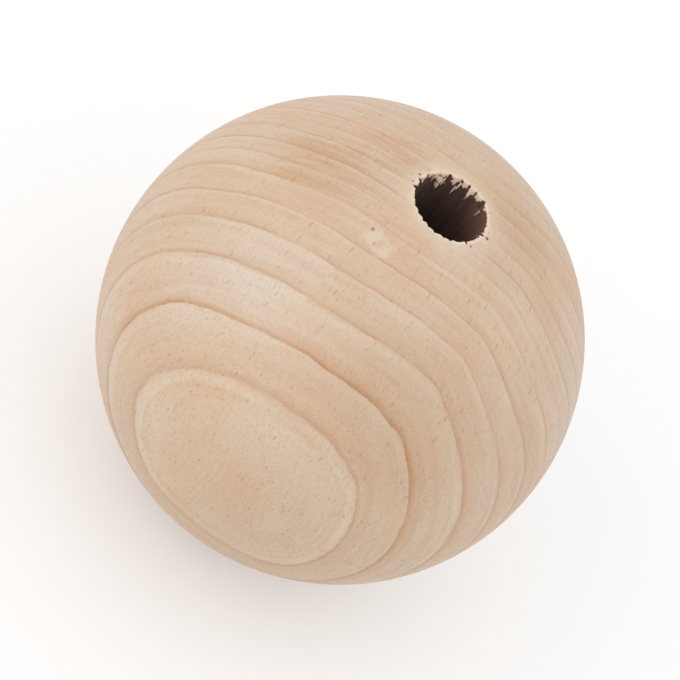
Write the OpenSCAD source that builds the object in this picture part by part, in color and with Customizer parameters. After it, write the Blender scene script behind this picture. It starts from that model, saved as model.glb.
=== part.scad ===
// Turned wooden ball, drilled right through along the grain.
// It stands on the clean mouth, where the drill went in and a countersink tidied the edge.
// The mouth on top is where the drill came out: its edge is worn round, and the drill
// tore splinters of end grain out of the bore wall there.
// The origin is the ball's centre, and +Z runs along the bore to the torn mouth. Millimetres.

/* [Ball] */
// Diameter of the ball
ball_d = 50; // [30:1:100]

/* [Bore] */
// Diameter of the bore
bore_d = 8; // [5:0.5:14]

/* [Clean mouth] */
// Width of the 45 degree countersink, out from the bore wall
countersink_w = 0.8; // [0.3:0.1:2]
// Radius that softens the edge between the countersink and the ball
countersink_edge_r = 0.4; // [0.1:0.1:0.6]

/* [Torn mouth] */
// Radius of the worn edge between the bore wall and the ball
worn_edge_r = 0.25; // [0.1:0.05:0.5]
// Number of splinters torn out round the mouth
splinter_count = 22; // [8:1:30]
// Width of the widest splinter, at the mouth
splinter_w = 0.9; // [0.4:0.05:1.2]
// Length of the longest splinter, down the bore wall
splinter_l = 2.4; // [1:0.1:4]
// Seed for the splinters' sizes and places
splinter_seed = 11; // [1:1:99]

/* [Hidden] */
$fn = 128;

wood = [0.87, 0.76, 0.65];
ball_r = ball_d / 2;
bore_r = bore_d / 2;

// Tools run this far past the surface that they cut
overcut = 1;
// The smallest splinter, as a share of the widest and of the longest
splinter_least = 0.4;
// A splinter's own middle stands inside the bore by this share of its width
splinter_inset = 0.15;
// A splinter strays from even spacing by up to this share of the spacing
splinter_stray = 0.3;
// A splinter follows the grain, which leans from the bore by up to this angle
splinter_lean = 3;
// A splinter ends in a point this wide
splinter_tip_d = 0.1;

// Height of the ball's surface at distance r from the bore's axis
function surface_z(r) = sqrt(pow(ball_r, 2) - pow(r, 2));

// The countersink meets the ball here
countersink_r = bore_r + countersink_w;
countersink_z = surface_z(countersink_r);

// Sections are drawn with x as the distance from the bore's axis and y as the height.
// Each softened edge is an arc that touches both of its faces, and its centre is found
// from the ball, which it touches from inside, and from its other face:
// the bore wall for the worn edge, and the 45 degree line for the countersink's edge.
worn_edge_x = bore_r + worn_edge_r;
worn_edge_y = sqrt(pow(ball_r - worn_edge_r, 2) - pow(worn_edge_x, 2));
line_rise = countersink_z - countersink_r - countersink_edge_r * sqrt(2);
line_reach = sqrt(2 * pow(ball_r - countersink_edge_r, 2) - pow(line_rise, 2));
countersink_edge_x = (line_reach - line_rise) / 2;
countersink_edge_y = countersink_edge_x + line_rise;

// What an edge loses when it is softened: a wedge of section between the directions
// from_a and to_a, beyond a circle of radius r round the arc's centre
module edge_waste(centre, r, from_a, to_a) {
    reach = r + overcut;
    translate(centre) difference() {
        polygon([
            [0, 0],
            reach * [cos(from_a), sin(from_a)],
            reach * [cos(to_a), sin(to_a)]
        ]);
        circle(r = r);
    }
}

module worn_edge_waste() {
    centre = [worn_edge_x, worn_edge_y];
    edge_waste(centre, worn_edge_r, atan2(centre.y, centre.x), 180);
}

// Drawn pointing up, like the worn edge
module countersink_waste() {
    bottom_z = countersink_z - countersink_w;
    polygon([
        [bore_r - overcut, bottom_z - overcut],
        [countersink_r + overcut, countersink_z + overcut],
        [bore_r - overcut, countersink_z + overcut]
    ]);
    centre = [countersink_edge_x, countersink_edge_y];
    edge_waste(centre, countersink_edge_r, atan2(centre.y, centre.x), 135);
}

// Section of the turned and drilled ball, to one side of the bore's axis
module turned_section() {
    difference() {
        circle(r = ball_r);
        translate([bore_r - ball_d, -ball_d]) square([ball_d, 2 * ball_d]);
        worn_edge_waste();
        mirror([0, 1]) countersink_waste();
    }
}

// One splinter of waste: a slim cone that points down the bore wall from the mouth
module splinter(w, l, lean) {
    mouth_z = surface_z(bore_r);
    translate([bore_r - splinter_inset * w, 0, mouth_z - l]) rotate([lean, 0, 0])
        cylinder(h = l + overcut, d1 = splinter_tip_d, d2 = w * (l + overcut) / l, $fn = 24);
}

module torn_splinters() {
    spacing = 360 / splinter_count;
    sizes = rands(splinter_least, 1, splinter_count, splinter_seed);
    lengths = rands(splinter_least, 1, splinter_count, splinter_seed + 1);
    strays = rands(-splinter_stray, splinter_stray, splinter_count, splinter_seed + 2);
    leans = rands(-splinter_lean, splinter_lean, splinter_count, splinter_seed + 3);
    for (i = [0 : splinter_count - 1])
        rotate(spacing * (i + strays[i]))
            splinter(splinter_w * sizes[i], splinter_l * lengths[i], leans[i]);
}

module ball() {
    color(wood) difference() {
        rotate_extrude() turned_section();
        torn_splinters();
    }
}

ball();
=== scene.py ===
"""A drilled beech ball, seen as in the photo: from above its bullseye figure, with the torn mouth
of the bore towards the upper right. Lengths are in metres, and in millimetres in the materials."""

import math
import random

import bpy
from mathutils import Matrix, Vector, noise


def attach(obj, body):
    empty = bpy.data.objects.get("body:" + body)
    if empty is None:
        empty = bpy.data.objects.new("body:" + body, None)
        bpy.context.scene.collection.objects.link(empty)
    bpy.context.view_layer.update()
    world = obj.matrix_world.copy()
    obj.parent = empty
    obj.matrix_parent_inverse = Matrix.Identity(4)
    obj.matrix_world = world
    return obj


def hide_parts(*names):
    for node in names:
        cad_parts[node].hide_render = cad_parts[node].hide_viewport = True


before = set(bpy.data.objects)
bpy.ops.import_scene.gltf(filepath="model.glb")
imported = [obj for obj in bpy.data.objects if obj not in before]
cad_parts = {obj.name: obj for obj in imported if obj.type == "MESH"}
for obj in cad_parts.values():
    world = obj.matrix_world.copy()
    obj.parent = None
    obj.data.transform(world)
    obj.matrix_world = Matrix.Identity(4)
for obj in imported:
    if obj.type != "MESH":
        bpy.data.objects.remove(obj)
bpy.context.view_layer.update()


# The ball is one piece of beech, turned between centres with the grain along its bore.
# Its half section is drawn first, from a circle cut off at the bore's wall, with the drill's
# entry countersunk below and the worn edge above, and the section is then spun round the bore.
MM = 0.001
hair = 0.001 * MM
ball_r = 25 * MM
bore_r = 4 * MM
countersink_w = 0.8 * MM
countersink_edge_r = 0.4 * MM
worn_edge_r = 0.25 * MM
mouth_z = math.sqrt(ball_r**2 - bore_r**2)
countersink_r = bore_r + countersink_w
countersink_z = math.sqrt(ball_r**2 - countersink_r**2)
outline_points = 360
turn_steps = 320
# How far the close rows reach down from the torn mouth, up from the entry, and out on the rim
torn_zone = 4.7 * MM
entry_zone = 5 * MM
rim_zone = 1.6 * MM
wall_rows = 10
torn_rows = 56
entry_rows = 10
rim_rows = 3


def select_where(piece, test):
    """Leaves selected, in edit mode, only the piece's vertices that the test accepts."""
    bpy.ops.mesh.select_all(action="DESELECT")
    bpy.ops.mesh.select_mode(type="VERT")
    bpy.ops.object.mode_set(mode="OBJECT")
    for vertex in piece.data.vertices:
        vertex.select = test(vertex.co)
    bpy.ops.object.mode_set(mode="EDIT")


def near(point, x, z):
    return abs(point.x - x) < 10 * hair and abs(point.z - z) < 10 * hair


bpy.ops.object.select_all(action="DESELECT")
bpy.ops.mesh.primitive_circle_add(
    vertices=outline_points, radius=ball_r, fill_type="NGON", rotation=(math.pi / 2, 0, 0)
)
ball = bpy.context.object
ball.name = "turned_ball"
bpy.ops.object.transform_apply(rotation=True)
bpy.ops.object.mode_set(mode="EDIT")
bpy.ops.mesh.select_all(action="SELECT")
bpy.ops.mesh.bisect(
    plane_co=(bore_r, 0, 0), plane_no=(1, 0, 0), clear_inner=True, threshold=hair
)
bpy.ops.mesh.select_all(action="SELECT")
bpy.ops.mesh.bisect(
    plane_co=(countersink_r, 0, -countersink_z),
    plane_no=(math.sqrt(0.5), 0, math.sqrt(0.5)),
    clear_inner=True,
    threshold=hair,
)

# The edge of each mouth is rounded: a bevel reaches r * tan(turn / 2) along both of its sides
entry_edge_reach = 0.3 * countersink_edge_r
worn_edge_reach = 0.854 * worn_edge_r
select_where(ball, lambda p: near(p, countersink_r, -countersink_z))
bpy.ops.mesh.bevel(offset=entry_edge_reach, segments=4, affect="VERTICES")
select_where(ball, lambda p: near(p, bore_r, mouth_z))
bpy.ops.mesh.bevel(offset=worn_edge_reach, segments=6, affect="VERTICES")

# Only the outline of the section is spun
bpy.ops.mesh.select_mode(type="FACE")
bpy.ops.mesh.select_all(action="SELECT")
bpy.ops.mesh.delete(type="ONLY_FACE")

# The wall and the wood round the torn mouth get close rows, for the splinters
select_where(ball, lambda p: p.x < bore_r + hair)
bpy.ops.mesh.subdivide(number_cuts=wall_rows)
select_where(ball, lambda p: p.x < bore_r + hair and p.z > mouth_z - torn_zone)
bpy.ops.mesh.subdivide(number_cuts=torn_rows)
select_where(ball, lambda p: p.x < bore_r + hair and p.z < entry_zone - countersink_z)
bpy.ops.mesh.subdivide(number_cuts=entry_rows)
select_where(ball, lambda p: bore_r + worn_edge_r * 0.9 < p.x < bore_r + rim_zone and p.z > 0)
bpy.ops.mesh.subdivide(number_cuts=rim_rows)

bpy.ops.mesh.select_all(action="SELECT")
bpy.ops.mesh.spin(steps=turn_steps, angle=2 * math.pi, center=(0, 0, 0), axis=(0, 0, 1))
bpy.ops.mesh.select_all(action="SELECT")
bpy.ops.mesh.remove_doubles(threshold=hair)
bpy.ops.mesh.normals_make_consistent(inside=False)
bpy.ops.object.mode_set(mode="OBJECT")


# Where the drill came out it tore the end grain. Slim splinters are gone from the bore's wall,
# and pointed tongues of pale wood still hang down it, over wood that the drill burnt dark.

# Each mark is its angle round the mouth in degrees, half width, length and depth in millimetres.
# Angles run anticlockwise from +X, so 90 is the far side of the mouth as the camera sees it.
splinters = [
    (158, 0.22, 1.2, 0.20), (120, 0.26, 1.4, 0.20), (101, 0.24, 1.1, 0.18), (89, 0.18, 1.0, 0.20),
    (76, 0.18, 0.9, 0.18), (59, 0.36, 1.3, 0.32), (40, 0.12, 0.5, 0.10), (18, 0.14, 0.5, 0.12),
    (-2, 0.28, 0.6, 0.30), (-36, 0.15, 0.8, 0.42), (-60, 0.25, 0.8, 0.14), (-72, 0.20, 0.6, 0.10),
    (-86, 0.28, 0.9, 0.17), (-97, 0.18, 0.5, 0.10), (-108, 0.25, 0.7, 0.16), (-122, 0.22, 0.8, 0.12),
    (-135, 0.28, 0.6, 0.18), (-148, 0.20, 0.8, 0.10), (-167, 0.30, 1.0, 0.34), (176, 0.25, 1.0, 0.26),
]
tongues = [
    (167, 0.30, 0.9, 0.10), (147, 0.28, 1.2, 0.15), (133, 0.50, 2.0, 0.32), (110, 0.28, 1.1, 0.15),
    (95, 0.22, 0.9, 0.12), (83, 0.30, 1.6, 0.36), (68, 0.28, 0.9, 0.12), (48, 0.24, 0.4, 0.10),
    (-20, 0.30, 0.8, 0.10), (-50, 0.40, 1.2, 0.15), (-75, 0.25, 0.9, 0.10), (-100, 0.35, 1.4, 0.20),
    (-125, 0.30, 1.0, 0.10), (-150, 0.40, 1.6, 0.20), (178, 0.30, 0.7, 0.15),
]
# Small chips outside the rim: angle, distance from the bore's axis, half width and depth
chips = [
    (170, 4.55, 0.18, 0.14), (178, 5.10, 0.12, 0.08), (186, 4.60, 0.13, 0.12), (161, 4.95, 0.10, 0.07),
    (152, 4.60, 0.12, 0.10), (0, 4.70, 0.20, 0.18), (9, 4.55, 0.12, 0.08), (42, 4.50, 0.12, 0.10),
    (76, 4.55, 0.10, 0.07), (-31, 4.60, 0.14, 0.12),
]
# The blunter a mark's end, the lower its number
splinter_point = 0.35
tongue_point = 0.30
# How far out on the rim the wood is torn
torn_reach = 1.2 * MM
# The pale band below the rim: its least depth, how much deeper it gets on its deepest side, where
# that side is in degrees, and how softly the band ends. The rest is in millimetres, as the marks.
band_least = 0.15
band_more = 0.55
band_side = 115
band_edge = 0.20
# The most that a tongue leans in, and how far above the countersink the wall has turned dark
tongue_lean = 0.45
clean_above_entry = 0.8
# How much wider the mouth is torn on its far side, and how far down that reaches
flare_out = 0.10
flare_depth = 0.9
# The burr of lifted fibre: how far outside the bore it stands, its half width and its height
burr_out = 0.42
burr_half_w = 0.28
burr_h = 0.04


def clamped(value):
    return min(1, max(0, value))


def turn_between(angle, centre):
    return (angle - centre + 180) % 360 - 180


def marked(marks, angle, down, point):
    """How far inside the strongest mark a place on the wall is, from 0 to 1, and that mark's depth.
    Marks narrow to a point as they go down."""
    strongest, its_depth = 0, 0
    for centre, half_width, length, depth in marks:
        if down >= length:
            continue
        aside = math.radians(turn_between(angle, centre)) * bore_r / MM
        reach = half_width * (1 - max(down, 0) / length) ** point
        if abs(aside) < reach and 1 - (aside / reach) ** 2 > strongest:
            strongest, its_depth = 1 - (aside / reach) ** 2, depth
    return strongest, its_depth


# This attribute marks wood that the drill burnt, and also paints shade into the chips round the rim
scorch_and_pit_shade = ball.data.attributes.new("scorch_and_pit_shade", "FLOAT", "POINT")
for vertex in ball.data.vertices:
    p = vertex.co
    r = math.hypot(p.x, p.y)
    if r > bore_r + torn_reach:
        continue
    on_wall = r < bore_r + hair
    if p.z < 0:
        up = (p.z + countersink_z - countersink_w) / MM
        scorch_and_pit_shade.data[vertex.index].value = clamped(up / clean_above_entry) if on_wall else 0
        continue
    angle = math.degrees(math.atan2(p.y, p.x))
    down = (mouth_z - p.z) / MM
    around = Vector((p.x, p.y, 0)) / r * bore_r / MM
    ragged = noise.noise(around * 1.5)
    fine = noise.noise(around * 4)
    blotch = noise.noise(p / MM * 2.2)
    strength, depth = marked(splinters, angle, down, splinter_point)
    set_back = strength * depth
    lean = 0
    if on_wall:
        # Pale torn wood in a ragged band below the rim, deepest on the far left, and burnt wood
        # under it and in deep splinters
        strength, depth = marked(tongues, angle, down, tongue_point)
        lean = min(strength * depth * down, tongue_lean)
        band_depth = band_least + band_more * max(0, math.cos(math.radians(angle - band_side)))
        band = 0.5 + (band_depth + 0.25 * ragged + 0.60 * blotch - down) / band_edge
        pale = clamped(max(band, 2.5 * strength * (1 + blotch)))
        pale *= clamped(1.5 - 8 * set_back)
        # Here and there the pale wood is singed
        pale -= min(0.35, max(0, -1.8 * blotch - 0.25))
        scorch_and_pit_shade.data[vertex.index].value = 1 - max(0, pale)
    fade = 1 - (r - bore_r) / torn_reach
    # On its far side the mouth is torn out a little wider, so its pale band slopes to the light
    far_side = max(0, math.sin(math.radians(angle)) + 0.25)
    flare = flare_out * max(0, 1 - down / flare_depth) * far_side
    out = (set_back - lean + flare + 0.09 * ragged + 0.08 * fine) * fade * MM
    if down > torn_zone / MM - 0.5:
        out = 0
    new_r = r + out
    p.x *= new_r / r
    p.y *= new_r / r
    if not on_wall and r > bore_r + worn_edge_r:
        # A low burr of lifted fibre stands just outside the worn edge, and chips have left pits
        crest = 1 - abs(new_r - bore_r - burr_out * MM) / (burr_half_w * MM)
        burr = max(0, crest) * (burr_h + 0.05 * ragged + 0.03 * fine + 0.05 * blotch) * MM
        sunk = 0.10 * max(0, blotch) * fade * MM
        pit = 0
        for centre, out_mm, half_width, depth in chips:
            turn = math.radians(turn_between(angle, centre))
            aside = math.hypot(turn * r / MM, (new_r / MM - out_mm) * 0.8) / half_width
            pit = max(pit, depth * max(0, 1 - aside**2))
        p.z = math.sqrt(ball_r**2 - new_r**2) + max(0, burr) - sunk - pit * MM
        # The chips' pits get the singed colour, darker the deeper they are: painted shade in the pits
        scorch_and_pit_shade.data[vertex.index].value = min(0.45, pit * 5)

bpy.ops.object.shade_smooth()
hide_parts("ball")
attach(ball, "root")


# Beech, as the plane and sandpaper leave it: pale, with a thin dark line where each year's growth
# ends, broad darker summer wood before it, ray flecks that stand along the grain, and fine pores.
# The rings lie round a pith behind the ball, and their widths are given from the bark side inwards.
pith_x = -5.0
pith_y = 45.0
bark_line = 67.5
ring_widths = [3.0, 3.6, 3.1, 2.6, 2.8, 2.1, 2.0, 2.3, 2.1, 2.1, 2.5, 2.6, 2.2, 2.4, 2.1, 2.5, 2.2, 2.3]
ring_widths += [2.4, 2.0, 2.3]
ring_count = len(ring_widths)
rings_depth = sum(ring_widths)
outer_year_w = 5.5
# How strongly each year's line shows, in the same order, and last the wide year on the bark side
ring_strengths = [0.52, 1.0, 0.62, 0.55, 0.60, 0.50, 0.28, 0.62, 0.50, 0.35, 0.60, 0.35, 0.45, 0.30]
ring_strengths += [0.55, 0.40, 0.60, 0.45, 0.35, 0.55, 0.40, 1.0]
# To the right of this place the rings flatten, as if the trunk had a shallow flute there. The flute
# grew with the tree, so it is fainter in the wood nearer the pith.
flute_x = 10.5
flute_slope = 0.30
inner_flute_slope = 0.12
inner_flute_y = 20.0
# In the wood nearest the bark the rings' crown lies further right
crown_y = -13.0
crown_shift = 0.32

pale_line = (0.730, 0.575, 0.433)
spring_wood = (0.705, 0.533, 0.392)
mean_wood = (0.697, 0.513, 0.368)
summer_wood = (0.665, 0.456, 0.299)
dark_line = (0.530, 0.292, 0.145)
spring_cream = (0.750, 0.605, 0.468)
rim_cream = (0.760, 0.625, 0.490)
layer_brown = (0.645, 0.439, 0.285)
layer_cream = (0.735, 0.583, 0.443)
pore_brown = (0.47, 0.30, 0.18)
pore_cream = (0.76, 0.62, 0.49)
ray_brown = (0.46, 0.255, 0.135)
silk_brown = (0.575, 0.375, 0.235)
patch_tints = [(0.32, (1.01, 0.955, 0.895)), (0.5, (1, 1, 1)), (0.68, (1.0, 1.03, 1.075))]


def add_node(tree, kind, inputs=None, **settings):
    made = tree.nodes.new(kind)
    for name, value in settings.items():
        setattr(made, name, value)
    for name, value in (inputs or {}).items():
        if isinstance(value, bpy.types.NodeSocket):
            tree.links.new(value, made.inputs[name])
        else:
            made.inputs[name].default_value = value
    return made


def calc(tree, operation, *values, clamp=False):
    inputs = dict(enumerate(values))
    return add_node(tree, "ShaderNodeMath", inputs, operation=operation, use_clamp=clamp).outputs[0]


def vector_calc(tree, operation, *values):
    inputs = dict(enumerate(values))
    made = add_node(tree, "ShaderNodeVectorMath", inputs, operation=operation)
    return made.outputs["Value" if operation == "LENGTH" else "Vector"]


def vector_of(tree, x=0.0, y=0.0, z=0.0):
    return add_node(tree, "ShaderNodeCombineXYZ", {0: x, 1: y, 2: z}).outputs[0]


def parts_of(tree, vector):
    return add_node(tree, "ShaderNodeSeparateXYZ", {0: vector}).outputs


def place_in_mm(tree):
    """The place in the wood, in millimetres from the ball's middle."""
    position = add_node(tree, "ShaderNodeTexCoord").outputs["Object"]
    return vector_calc(tree, "MULTIPLY", position, (1000, 1000, 1000))


def ease(tree, value, low, high, to_low=0.0, to_high=1.0):
    """A soft step from to_low to to_high as the value goes from low to high."""
    inputs = {"Value": value, "From Min": low, "From Max": high, "To Min": to_low, "To Max": to_high}
    made = add_node(tree, "ShaderNodeMapRange", inputs, interpolation_type="SMOOTHSTEP")
    return made.outputs["Result"]


def mix_colour(tree, factor, colour, other, blend="MIX"):
    made = add_node(tree, "ShaderNodeMix", {0: factor}, data_type="RGBA", blend_type=blend)
    for socket, value in ((6, colour), (7, other)):
        if isinstance(value, bpy.types.NodeSocket):
            tree.links.new(value, made.inputs[socket])
        else:
            made.inputs[socket].default_value = (*value, 1)
    return made.outputs[2]


def lay_over(tree, mask, share, colour, other, blend="MIX"):
    """Another colour laid over the first where the mask is, at the given share of its strength."""
    return mix_colour(tree, calc(tree, "MULTIPLY", mask, share), colour, other, blend)


def ramp(tree, value, stops, between="LINEAR"):
    """A colour ramp with the stops given as place and colour."""
    made = add_node(tree, "ShaderNodeValToRGB", {"Fac": value})
    made.color_ramp.interpolation = between
    elements = made.color_ramp.elements
    while len(elements) < len(stops):
        elements.new(1.0)
    for element, (place, colour) in zip(elements, stops):
        element.position = place
        element.color = (*colour, 1)
    return made.outputs["Color"]


def noise_at(tree, place, stretch, detail=2.0, roughness=0.5):
    """Noise whose lumps are 1 / stretch millimetres long each way."""
    scaled = vector_calc(tree, "MULTIPLY", place, stretch)
    inputs = {"Vector": scaled, "Scale": 1.0, "Detail": detail, "Roughness": roughness}
    return add_node(tree, "ShaderNodeTexNoise", inputs).outputs


def drift(tree, place, stretch, reach, detail):
    """A shift that wanders from place to place, by at most half the reach each way."""
    lumps = noise_at(tree, place, stretch, detail)["Color"]
    return vector_calc(tree, "MULTIPLY", vector_calc(tree, "SUBTRACT", lumps, (0.5,) * 3), reach)


beech = bpy.data.node_groups.new("Beech", "ShaderNodeTree")
beech.interface.new_socket("Ring contrast", in_out="INPUT", socket_type="NodeSocketFloat")
beech.interface.new_socket("Colour", in_out="OUTPUT", socket_type="NodeSocketColor")
beech.interface.new_socket("Relief", in_out="OUTPUT", socket_type="NodeSocketFloat")
beech.interface.new_socket("Pores", in_out="OUTPUT", socket_type="NodeSocketFloat")
wood_in = beech.nodes.new("NodeGroupInput")
wood_out = beech.nodes.new("NodeGroupOutput")
contrast = wood_in.outputs[0]
here = place_in_mm(beech)

# Distance from the pith, wandering a little as real rings do
wander = drift(beech, here, (0.07, 0.07, 0.02), (1.6, 1.6, 0), 1.0)
ripple = drift(beech, here, (0.4, 0.4, 0.07), (0.3, 0.3, 0), 2.0)
from_pith = vector_calc(beech, "SUBTRACT", here, (pith_x, pith_y, 0))
bent = vector_calc(beech, "ADD", vector_calc(beech, "ADD", from_pith, wander), ripple)
here_parts = parts_of(beech, here)
past_flute = calc(beech, "SMOOTH_MAX", calc(beech, "SUBTRACT", here_parts[0], flute_x), 0.0, 0.8)
slope = ease(beech, here_parts[1], inner_flute_y, 0.0, inner_flute_slope, flute_slope)
flute = vector_of(beech, y=calc(beech, "MULTIPLY", past_flute, slope))
bent = vector_calc(beech, "ADD", bent, flute)
outer_part = calc(beech, "SMOOTH_MAX", calc(beech, "SUBTRACT", crown_y, here_parts[1]), 0.0, 3.0)
crown = vector_of(beech, x=calc(beech, "MULTIPLY", outer_part, crown_shift))
bent = vector_calc(beech, "SUBTRACT", bent, crown)
ring_radius = vector_calc(beech, "LENGTH", vector_calc(beech, "MULTIPLY", bent, (1, 1, 0)))

# Years counted outwards, along a curve that gives each year its width
innermost = bark_line - rings_depth
curve_node = add_node(beech, "ShaderNodeFloatCurve")
curve = curve_node.mapping.curves[0]
depth_in = 0
for year, width in enumerate(ring_widths + [0]):
    place = 1 - depth_in / rings_depth
    share = 1 - year / ring_count
    if year == 0:
        point = curve.points[-1]
    elif year == ring_count:
        point = curve.points[0]
    else:
        point = curve.points.new(place, share)
    point.location = (place, share)
    point.handle_type = "VECTOR"
    depth_in += width
curve_node.mapping.update()
fuzz = noise_at(beech, here, (7.0, 7.0, 0.8), detail=1.0)["Fac"]
fuzzy = calc(beech, "MULTIPLY_ADD", fuzz, 0.16, calc(beech, "SUBTRACT", ring_radius, innermost + 0.08))
inside = calc(beech, "DIVIDE", fuzzy, rings_depth, clamp=True)
beech.links.new(inside, curve_node.inputs["Value"])
years = calc(beech, "MULTIPLY", curve_node.outputs[0], ring_count)
# Past the last line the bark side goes on with one wide year
past = calc(beech, "DIVIDE", calc(beech, "SUBTRACT", fuzzy, rings_depth), outer_year_w)
years = calc(beech, "ADD", years, calc(beech, "MAXIMUM", past, 0.0))
in_year = calc(beech, "FRACT", years)

ring_colour = ramp(
    beech,
    in_year,
    [
        (0.00, summer_wood),
        (0.03, pale_line),
        (0.14, pale_line),
        (0.32, spring_wood),
        (0.68, mean_wood),
        (0.88, summer_wood),
        (0.97, dark_line),
        (0.99, dark_line),
    ],
)
outwards = ring_strengths[-2::-1] + ring_strengths[-1:]
strength_stops = [(year / len(outwards), (value,) * 3) for year, value in enumerate(outwards)]
of_year = ramp(beech, calc(beech, "DIVIDE", years, len(outwards)), strength_stops, "CONSTANT")
fading = noise_at(beech, here, (0.11, 0.11, 0.06), detail=2.0)["Fac"]
line_strength = calc(beech, "MULTIPLY", ease(beech, fading, 0.34, 0.60, 0.55, 1.1), of_year)
line_strength = calc(beech, "MULTIPLY", line_strength, contrast)
colour = mix_colour(beech, line_strength, mean_wood, ring_colour)

# Each year starts with a pale edge, also where its own line is faint
spring_edge = calc(beech, "MULTIPLY", ease(beech, in_year, 0.20, 0.06), contrast)
colour = lay_over(beech, spring_edge, 0.28, colour, spring_cream)


# On the bark side of the last line lie a pale rim and then a faint false ring
def band_outside(past_line, half_width, core):
    """A band that follows the last line, a little way outside it."""
    middle = calc(beech, "SUBTRACT", ring_radius, bark_line + past_line)
    band = ease(beech, calc(beech, "ABSOLUTE", middle), half_width, core)
    return calc(beech, "MULTIPLY", band, contrast)


colour = lay_over(beech, band_outside(0.62, 0.20, 0.04), 0.35, colour, summer_wood)
colour = lay_over(beech, band_outside(0.30, 0.32, 0.08), 0.40, colour, rim_cream)

# Fainter layers inside each year, drawn out along the rings. The way round the pith is measured
# on a ring in the middle of the ball.
middle_ring_r = 52.0
pith_parts = parts_of(beech, from_pith)
aside = calc(beech, "MULTIPLY", calc(beech, "ARCTAN2", pith_parts[0], pith_parts[1]), middle_ring_r)
layer_place = vector_of(beech, ring_radius, aside, pith_parts[2])
layers = noise_at(beech, layer_place, (1.5, 0.11, 0.04), detail=4.0, roughness=0.62)["Fac"]
layers_show = ease(beech, ring_radius, bark_line + 1.6, bark_line + 0.5, 0.3, 1.0)
layer_dark = ease(beech, layers, 0.53, 0.34, 0.0, 0.45)
colour = lay_over(beech, layer_dark, layers_show, colour, layer_brown)
layer_pale = ease(beech, layers, 0.50, 0.68, 0.0, 0.42)
colour = lay_over(beech, layer_pale, layers_show, colour, layer_cream)

# Warm and cool patches, a few millimetres to a few centimetres across
patches = noise_at(beech, here, (0.10, 0.10, 0.06), detail=4.0, roughness=0.6)["Fac"]
colour = mix_colour(beech, 1.0, colour, ramp(beech, patches, patch_tints), "MULTIPLY")

# Pores and fine fibre: long thin streaks along the grain, and specks where they are cut across
pores = noise_at(beech, here, (7.5, 7.5, 0.45), detail=2.0, roughness=0.6)["Fac"]
pore_dark = ease(beech, pores, 0.52, 0.30)
colour = lay_over(beech, pore_dark, 0.22, colour, pore_brown)
colour = mix_colour(beech, ease(beech, pores, 0.54, 0.74, 0.0, 0.30), colour, pore_cream)


# Rays: thin upright blades that all point at the pith, a few broad ones and many fine ones
def rays(gap, rise, reach, half_sizes):
    """One blade in each cell of a grid that is gap wide round the pith, rise high and reach deep."""
    place = vector_of(
        beech,
        calc(beech, "DIVIDE", aside, gap),
        calc(beech, "DIVIDE", pith_parts[2], rise),
        calc(beech, "DIVIDE", ring_radius, reach),
    )
    cells = add_node(beech, "ShaderNodeTexVoronoi", {"Vector": place, "Scale": 1.0}).outputs
    chance = parts_of(beech, cells["Color"])
    off = vector_calc(beech, "SUBTRACT", place, cells["Position"])
    thick, high, deep = half_sizes
    off = vector_calc(beech, "MULTIPLY", off, (gap / thick, rise / high, reach / deep))
    thickness = ease(beech, chance[1], 0.0, 1.0, 0.5, 1.0)
    from_middle = calc(beech, "DIVIDE", vector_calc(beech, "LENGTH", off), thickness)
    blade = ease(beech, from_middle, 1.0, 0.35)
    return calc(beech, "MULTIPLY", blade, ease(beech, chance[0], 0.20, 1.0, 0.10, 1.0))


broad_rays = rays(0.46, 1.00, 2.2, (0.10, 0.38, 0.85))
fine_rays = rays(0.25, 0.62, 1.3, (0.06, 0.26, 0.50))
colour = lay_over(beech, broad_rays, 0.66, colour, ray_brown)
colour = lay_over(beech, fine_rays, 0.55, colour, ray_brown)
silk = noise_at(beech, layer_place, (0.45, 5.0, 0.9), detail=3.0, roughness=0.6)["Fac"]
colour = mix_colour(beech, ease(beech, silk, 0.50, 0.28, 0.0, 0.30), colour, silk_brown)

fibre_relief = calc(beech, "MULTIPLY", pores, 0.4)
relief = calc(beech, "SUBTRACT", fibre_relief, calc(beech, "MULTIPLY", broad_rays, 0.3))
beech.links.new(colour, wood_out.inputs[0])
beech.links.new(relief, wood_out.inputs[1])
beech.links.new(pore_dark, wood_out.inputs[2])


# The ball's finish: fine sanded bare wood, with painted light and shade in some of its broad patches.
# Round the torn mouth the rings fade in a pale halo, a peach stain runs beside it, and one small dark
# pit has a pale bruise round it.
# Tints are multiplied over the beech, and the other colours are laid over it.
cream_and_highlight_tint = (1.05, 1.15, 1.27)
warm_and_shade_tint = (0.91, 0.84, 0.77)
peach_tint = (0.90, 0.77, 0.64)
pale_and_lit_tint = (1.05, 1.13, 1.22)
halo_cream = (0.760, 0.625, 0.495)
torn_rim_pale = (0.84, 0.660, 0.500)
torn_wall_pale_and_lit = (0.88, 0.700, 0.540)
bruise_pale = (0.79, 0.67, 0.54)
pit_brown = (0.25, 0.16, 0.11)
burnt_wall = [(0.30, (0.076, 0.045, 0.033)), (0.75, (0.155, 0.085, 0.060))]
burnt_red = (0.200, 0.088, 0.058)
singed_and_pit_shade = (0.330, 0.135, 0.085)


def spot(tree, place, centre, size):
    """A soft round patch about a point, in millimetres."""
    offset = vector_calc(tree, "SUBTRACT", place, centre)
    scaled = vector_calc(tree, "DIVIDE", offset, size)
    return ease(tree, vector_calc(tree, "LENGTH", scaled), 1.0, 0.35)


def new_finish(name):
    """A material, its nodes, and the shader that they feed."""
    finish = bpy.data.materials.new(name)
    finish.use_nodes = True
    return finish, finish.node_tree, finish.node_tree.nodes["Principled BSDF"]


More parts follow.
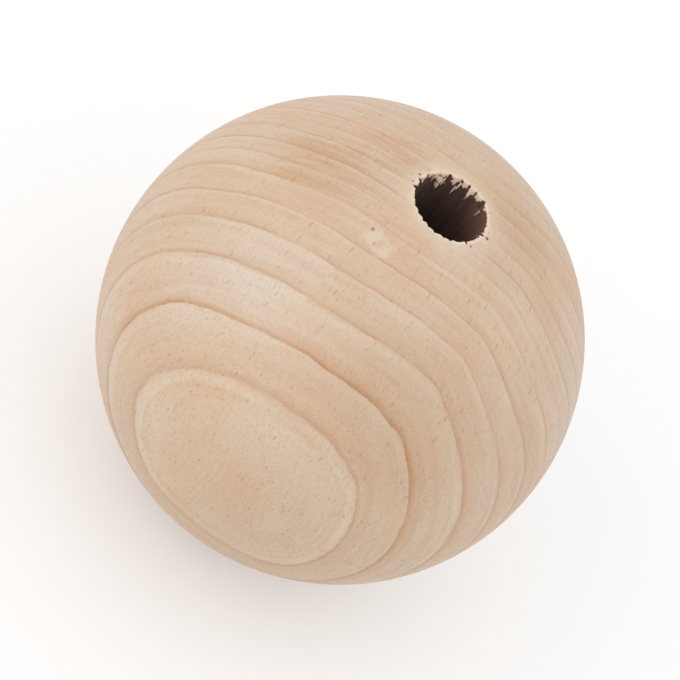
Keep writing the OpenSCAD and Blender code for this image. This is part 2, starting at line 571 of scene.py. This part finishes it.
ball_wood, tree, shader = new_finish("ball_wood")
here = place_in_mm(tree)
from_bore = vector_calc(tree, "LENGTH", vector_calc(tree, "MULTIPLY", here, (1, 1, 0)))
above = ease(tree, parts_of(tree, here)[2], 0.0, 5.0)
blur = noise_at(tree, here, (0.6, 0.6, 0.6), detail=3.0)["Fac"]
halo_edge = calc(tree, "ADD", from_bore, calc(tree, "MULTIPLY", blur, 2.0))
halo = calc(tree, "MULTIPLY", ease(tree, halo_edge, 7.4, 5.4), above)
ring_contrast = calc(tree, "SUBTRACT", 1.0, calc(tree, "MULTIPLY", halo, 0.85))
wood = add_node(tree, "ShaderNodeGroup", node_tree=beech)
tree.links.new(ring_contrast, wood.inputs[0])
colour = wood.outputs["Colour"]

# Broad patches of this ball: cream on the left of its bullseye, warmer on the right and by the mouth.
# The cream is partly paler wood and partly a painted soft highlight on the left.
cream_and_highlight = 0.0
for centre, size, share in (
    ((-10.5, -17.8, 13.3), (12.0, 6.0, 10.0), 0.55),
    ((-18.0, -16.0, -7.0), (8.0, 8.0, 11.0), 0.55),
    ((-8.5, -15.5, 17.0), (9.0, 8.0, 8.0), 0.30),
    ((-12.5, -15.9, 14.3), (11.0, 2.0, 8.0), -0.40),
):
    cream_and_highlight = calc(tree, "MULTIPLY_ADD", spot(tree, here, centre, size), share, cream_and_highlight)
# Cream here is partly a painted soft highlight
colour = mix_colour(tree, cream_and_highlight, colour, cream_and_highlight_tint, "MULTIPLY")
warm_and_shade = 0.0
for centre, size, share in (
    ((10.0, -17.0, 13.5), (14.5, 9.5, 12.0), 0.70),
    ((6.5, 5.5, 23.0), (7.0, 6.0, 8.0), 0.55),
    ((6.0, -22.0, -1.0), (15.0, 9.0, 12.0), 0.30),
):
    warm_and_shade = calc(tree, "MAXIMUM", calc(tree, "MULTIPLY", spot(tree, here, centre, size), share), warm_and_shade)
# The warm patches right of and below the bullseye are also darker: partly painted shade and painted
# warm bounce light
colour = mix_colour(tree, warm_and_shade, colour, warm_and_shade_tint, "MULTIPLY")

streaks = noise_at(tree, here, (0.10, 0.80, 0.12), detail=4.0, roughness=0.6)["Fac"]
stain = calc(tree, "MULTIPLY", spot(tree, here, (-12.0, -3.2, 21.6), (9.5, 6.5, 9.0)), above)
by_mouth = calc(tree, "MULTIPLY", spot(tree, here, (-8.6, 1.6, 23.4), (5.5, 4.2, 4.5)), 0.85)
stain = calc(tree, "MAXIMUM", stain, by_mouth)
stain = calc(tree, "MULTIPLY", stain, ease(tree, streaks, 0.40, 0.60, 0.30, 1.0))
colour = lay_over(tree, stain, 0.85, colour, peach_tint, "MULTIPLY")

# Fresh pale wood round the mouth, palest on the torn rim itself
colour = lay_over(tree, halo, 0.50, colour, halo_cream)
torn_rim = calc(tree, "MULTIPLY", ease(tree, halo_edge, 5.9, 5.1), above)
colour = lay_over(tree, torn_rim, 0.50, colour, torn_rim_pale)
# Paler still on the wall just inside: partly fresh torn wood, partly painted light that lifts the shade
# in the bore
torn_and_lit_wall = calc(tree, "MULTIPLY", ease(tree, from_bore, 4.45, 4.25), above)
colour = lay_over(tree, torn_and_lit_wall, 0.70, colour, torn_wall_pale_and_lit)

# The sanded wood is also paler on the right of the mouth and just below it. Towards the ball's right
# edge this is painted light, lifting that side.
lit_far_right = spot(tree, here, (20.0, 3.0, 14.0), (10.0, 10.0, 14.0))
near_right = spot(tree, here, (12.5, -4.0, 21.0), (6.0, 5.0, 7.0))
below_mouth = spot(tree, here, (4.0, -4.8, 24.0), (5.0, 3.4, 3.0))
pale_and_lit_side = calc(tree, "ADD", lit_far_right, near_right, clamp=True)
pale_and_lit_side = calc(tree, "MAXIMUM", pale_and_lit_side, below_mouth)
colour = lay_over(tree, pale_and_lit_side, 0.55, colour, pale_and_lit_tint, "MULTIPLY")

pit = spot(tree, here, (-4.5, -8.0, 23.2), (0.30, 0.30, 0.30))
smudged = vector_calc(tree, "ADD", here, drift(tree, here, (0.9, 0.9, 0.9), (2.6, 2.6, 0), 3.0))
upper_bruise = spot(tree, smudged, (-3.5, -8.65, 23.2), (1.8, 1.3, 2.0))
lower_bruise = spot(tree, smudged, (-2.6, -9.1, 23.0), (1.6, 1.2, 1.5))
bruise = calc(tree, "ADD", upper_bruise, lower_bruise, clamp=True)
bruise = calc(tree, "MULTIPLY", bruise, ease(tree, blur, 0.30, 0.52))
colour = lay_over(tree, bruise, 0.55, colour, bruise_pale)
colour = lay_over(tree, pit, 0.7, colour, pit_brown)

# The wall is lighter, and reddest, below the far right of the torn mouth
burnt_and_pit_shade = add_node(tree, "ShaderNodeAttribute", attribute_name="scorch_and_pit_shade").outputs["Fac"]
wall_streaks = noise_at(tree, here, (2.0, 2.0, 0.25), detail=3.0, roughness=0.6)["Fac"]
reddish = spot(tree, here, (3.4, 2.6, 22.4), (3.6, 3.6, 4.0))
burnt_colour = lay_over(tree, reddish, 0.75, ramp(tree, wall_streaks, burnt_wall), burnt_red)
# The singed colour also darkens the chips' pits round the rim, as painted shade
colour = mix_colour(tree, ease(tree, burnt_and_pit_shade, 0.10, 0.45), colour, singed_and_pit_shade)
colour = mix_colour(tree, ease(tree, burnt_and_pit_shade, 0.35, 0.80), colour, burnt_colour)

tree.links.new(colour, shader.inputs["Base Color"])
gloss = calc(tree, "ADD", 0.60, calc(tree, "MULTIPLY", wood.outputs["Pores"], 0.12))
gloss = calc(tree, "ADD", gloss, calc(tree, "MULTIPLY", burnt_and_pit_shade, 0.25), clamp=True)
tree.links.new(gloss, shader.inputs["Roughness"])
shader.inputs["Specular IOR Level"].default_value = 0.35
shader.inputs["Sheen Weight"].default_value = 0.12
shader.inputs["Sheen Roughness"].default_value = 0.45
bump = add_node(tree, "ShaderNodeBump", {"Strength": 0.5, "Distance": 0.02 * MM})
tree.links.new(wood.outputs["Relief"], bump.inputs["Height"])
tree.links.new(bump.outputs[0], shader.inputs["Normal"])
ball.data.materials.append(ball_wood)
# The solid that the ball stands for is hidden, but has the same finish
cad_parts["ball"].data.materials.clear()
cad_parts["ball"].data.materials.append(ball_wood)


# Fine fibres that the drill pulled loose stay round the torn mouth. They are rooted in the rim
# and in the wall just below it, and most hang inwards and down into the bore.
# One fibre is extruded from a six-sided foot, and the others are copies of it.
fibre_count = 24
fibre_root_r = bore_r + 0.10 * MM
loose = random.Random(5)
bpy.ops.object.select_all(action="DESELECT")
bpy.ops.mesh.primitive_circle_add(vertices=6, radius=1, fill_type="NGON")
fibre = bpy.context.object
bpy.ops.object.mode_set(mode="EDIT")
bpy.ops.mesh.select_all(action="SELECT")
for rise, bend, taper in ((0.35, 0.2, 0.85), (0.35, 0.9, 0.65), (0.30, 1.6, 0.10)):
    bpy.ops.mesh.extrude_region_move(TRANSFORM_OT_translate={"value": (bend, 0, rise)})
    bpy.ops.transform.resize(value=(taper, taper, 1))
bpy.ops.object.mode_set(mode="OBJECT")
fibres = []
while len(fibres) < fibre_count:
    angle = loose.uniform(0, math.tau)
    outward = Vector((math.cos(angle), math.sin(angle), 0))
    sideways = Vector((-math.sin(angle), math.cos(angle), 0))
    down = 0.05 + 1.1 * loose.random() ** 2
    root = outward * fibre_root_r + Vector((0, 0, mouth_z - (0.12 + down) * MM))
    direction = (
        -outward * loose.uniform(0.10, 0.50)
        + sideways * loose.uniform(-0.30, 0.30)
        - Vector((0, 0, loose.uniform(0.6, 1.0)))
    ).normalized()
    length = loose.uniform(0.35, 1.1) * MM
    width = loose.uniform(0.04, 0.08) * MM
    stretch = Matrix.Diagonal((width, width * loose.uniform(1, 2.2), length, 1))
    turn = direction.to_track_quat("Z", "X").to_matrix().to_4x4()
    copy = bpy.data.objects.new("fibre", fibre.data.copy())
    copy.data.transform(Matrix.Translation(root) @ turn @ stretch)
    bpy.context.scene.collection.objects.link(copy)
    fibres.append(copy)
bpy.data.objects.remove(fibre)
bpy.ops.object.select_all(action="DESELECT")
for copy in fibres:
    copy.select_set(True)
bpy.context.view_layer.objects.active = fibres[0]
bpy.ops.object.join()
torn_fibres = bpy.context.object
torn_fibres.name = "torn_fibres"
bpy.ops.object.shade_smooth()

# They are fresh wood, paler than the sanded face, and their tips are a little browned
fresh_wood = (0.80, 0.62, 0.48)
browned_tip = (0.30, 0.16, 0.10)
fibre_wood, tree, shader = new_finish("fibre_wood")
wood = add_node(tree, "ShaderNodeGroup", node_tree=beech)
wood.inputs[0].default_value = 0.2
fresh = mix_colour(tree, 0.45, wood.outputs["Colour"], fresh_wood)
position = add_node(tree, "ShaderNodeTexCoord").outputs["Object"]
browned = ease(tree, parts_of(tree, position)[2], mouth_z - 0.6 * MM, mouth_z - 2.6 * MM)
tree.links.new(lay_over(tree, browned, 0.6, fresh, browned_tip), shader.inputs["Base Color"])
shader.inputs["Roughness"].default_value = 0.7
torn_fibres.data.materials.append(fibre_wood)
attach(torn_fibres, "root")


# A plain white table top, touched by the rim of the countersunk mouth, on which the ball stands.
# It shows white to the camera and in gloss, and keeps the shadow.
table_w = 6
table_white = 0.82
table_glow = 0.24
floor_z = min(vertex.co.z for vertex in ball.data.vertices)


def seen_directly(tree):
    """1 where the camera sees a surface, straight or in gloss or through glass, and 0 elsewhere."""
    rays_seen = add_node(tree, "ShaderNodeLightPath").outputs
    gloss_or_glass = calc(tree, "MAXIMUM", rays_seen["Is Glossy Ray"], rays_seen["Is Transmission Ray"])
    return calc(tree, "MAXIMUM", rays_seen["Is Camera Ray"], gloss_or_glass)


bpy.ops.object.select_all(action="DESELECT")
bpy.ops.mesh.primitive_plane_add(size=table_w, location=(0, 0, floor_z))
floor = bpy.context.object
floor.name = "table_top"
floor_white, tree, shader = new_finish("floor_white")
shader.inputs["Base Color"].default_value = (table_white, table_white, table_white, 1)
shader.inputs["Roughness"].default_value = 0.9
shader.inputs["Specular IOR Level"].default_value = 0.0
shader.inputs["Emission Color"].default_value = (1, 1, 1, 1)
glow = calc(tree, "MULTIPLY", seen_directly(tree), table_glow)
tree.links.new(glow, shader.inputs["Emission Strength"])
floor.data.materials.append(floor_white)


# The camera looks down on the bullseye with a long lens, from as many ball radii as in the photo,
# and is rolled so that the bore leans as it does there.
view_height = math.radians(46)
bore_lean = math.radians(40)
radii_away = 21.3
distance = radii_away * ball_r
ball_share = 0.72
to_camera = Vector((0, -math.cos(view_height), math.sin(view_height)))
level_up = Vector((0, math.sin(view_height), math.cos(view_height)))
level_right = Vector((1, 0, 0))
camera_up = math.cos(bore_lean) * level_up - math.sin(bore_lean) * level_right
camera_right = math.cos(bore_lean) * level_right + math.sin(bore_lean) * level_up
camera_data = bpy.data.cameras.new("camera")
ball_half_angle = math.asin(1 / radii_away)
camera_data.lens = camera_data.sensor_width * ball_share / 2 / math.tan(ball_half_angle)
camera_data.clip_start = 0.01
camera = bpy.data.objects.new("camera", camera_data)
bpy.context.scene.collection.objects.link(camera)
turn = Matrix((camera_right, camera_up, to_camera)).transposed().to_4x4()
camera.matrix_world = Matrix.Translation(to_camera * distance) @ turn
bpy.context.scene.camera = camera


# Soft studio light: a white room all round, a little dimmer on the ball than it looks behind it,
# and one broad square lamp, which stands above and to the left of the view.
room_level = 0.91
lamp_w = 0.6
lamp_power = 0.64
lamp_place = camera_right * -0.34 + camera_up * 0.20 + to_camera * 0.45
world = bpy.data.worlds.new("room")
bpy.context.scene.world = world
world.use_nodes = True
background = world.node_tree.nodes["Background"]
background.inputs["Color"].default_value = (1, 1, 1, 1)
room_light = calc(world.node_tree, "MAXIMUM", seen_directly(world.node_tree), room_level)
world.node_tree.links.new(room_light, background.inputs["Strength"])

lamp_data = bpy.data.lights.new("key_lamp", "AREA")
lamp_data.size = lamp_w
lamp_data.energy = lamp_power
lamp = bpy.data.objects.new("key_lamp", lamp_data)
bpy.context.scene.collection.objects.link(lamp)
facing = lamp_place.to_track_quat("Z", "Y").to_matrix().to_4x4()
lamp.matrix_world = Matrix.Translation(lamp_place) @ facing
bpy.context.scene.view_settings.view_transform = "Standard"
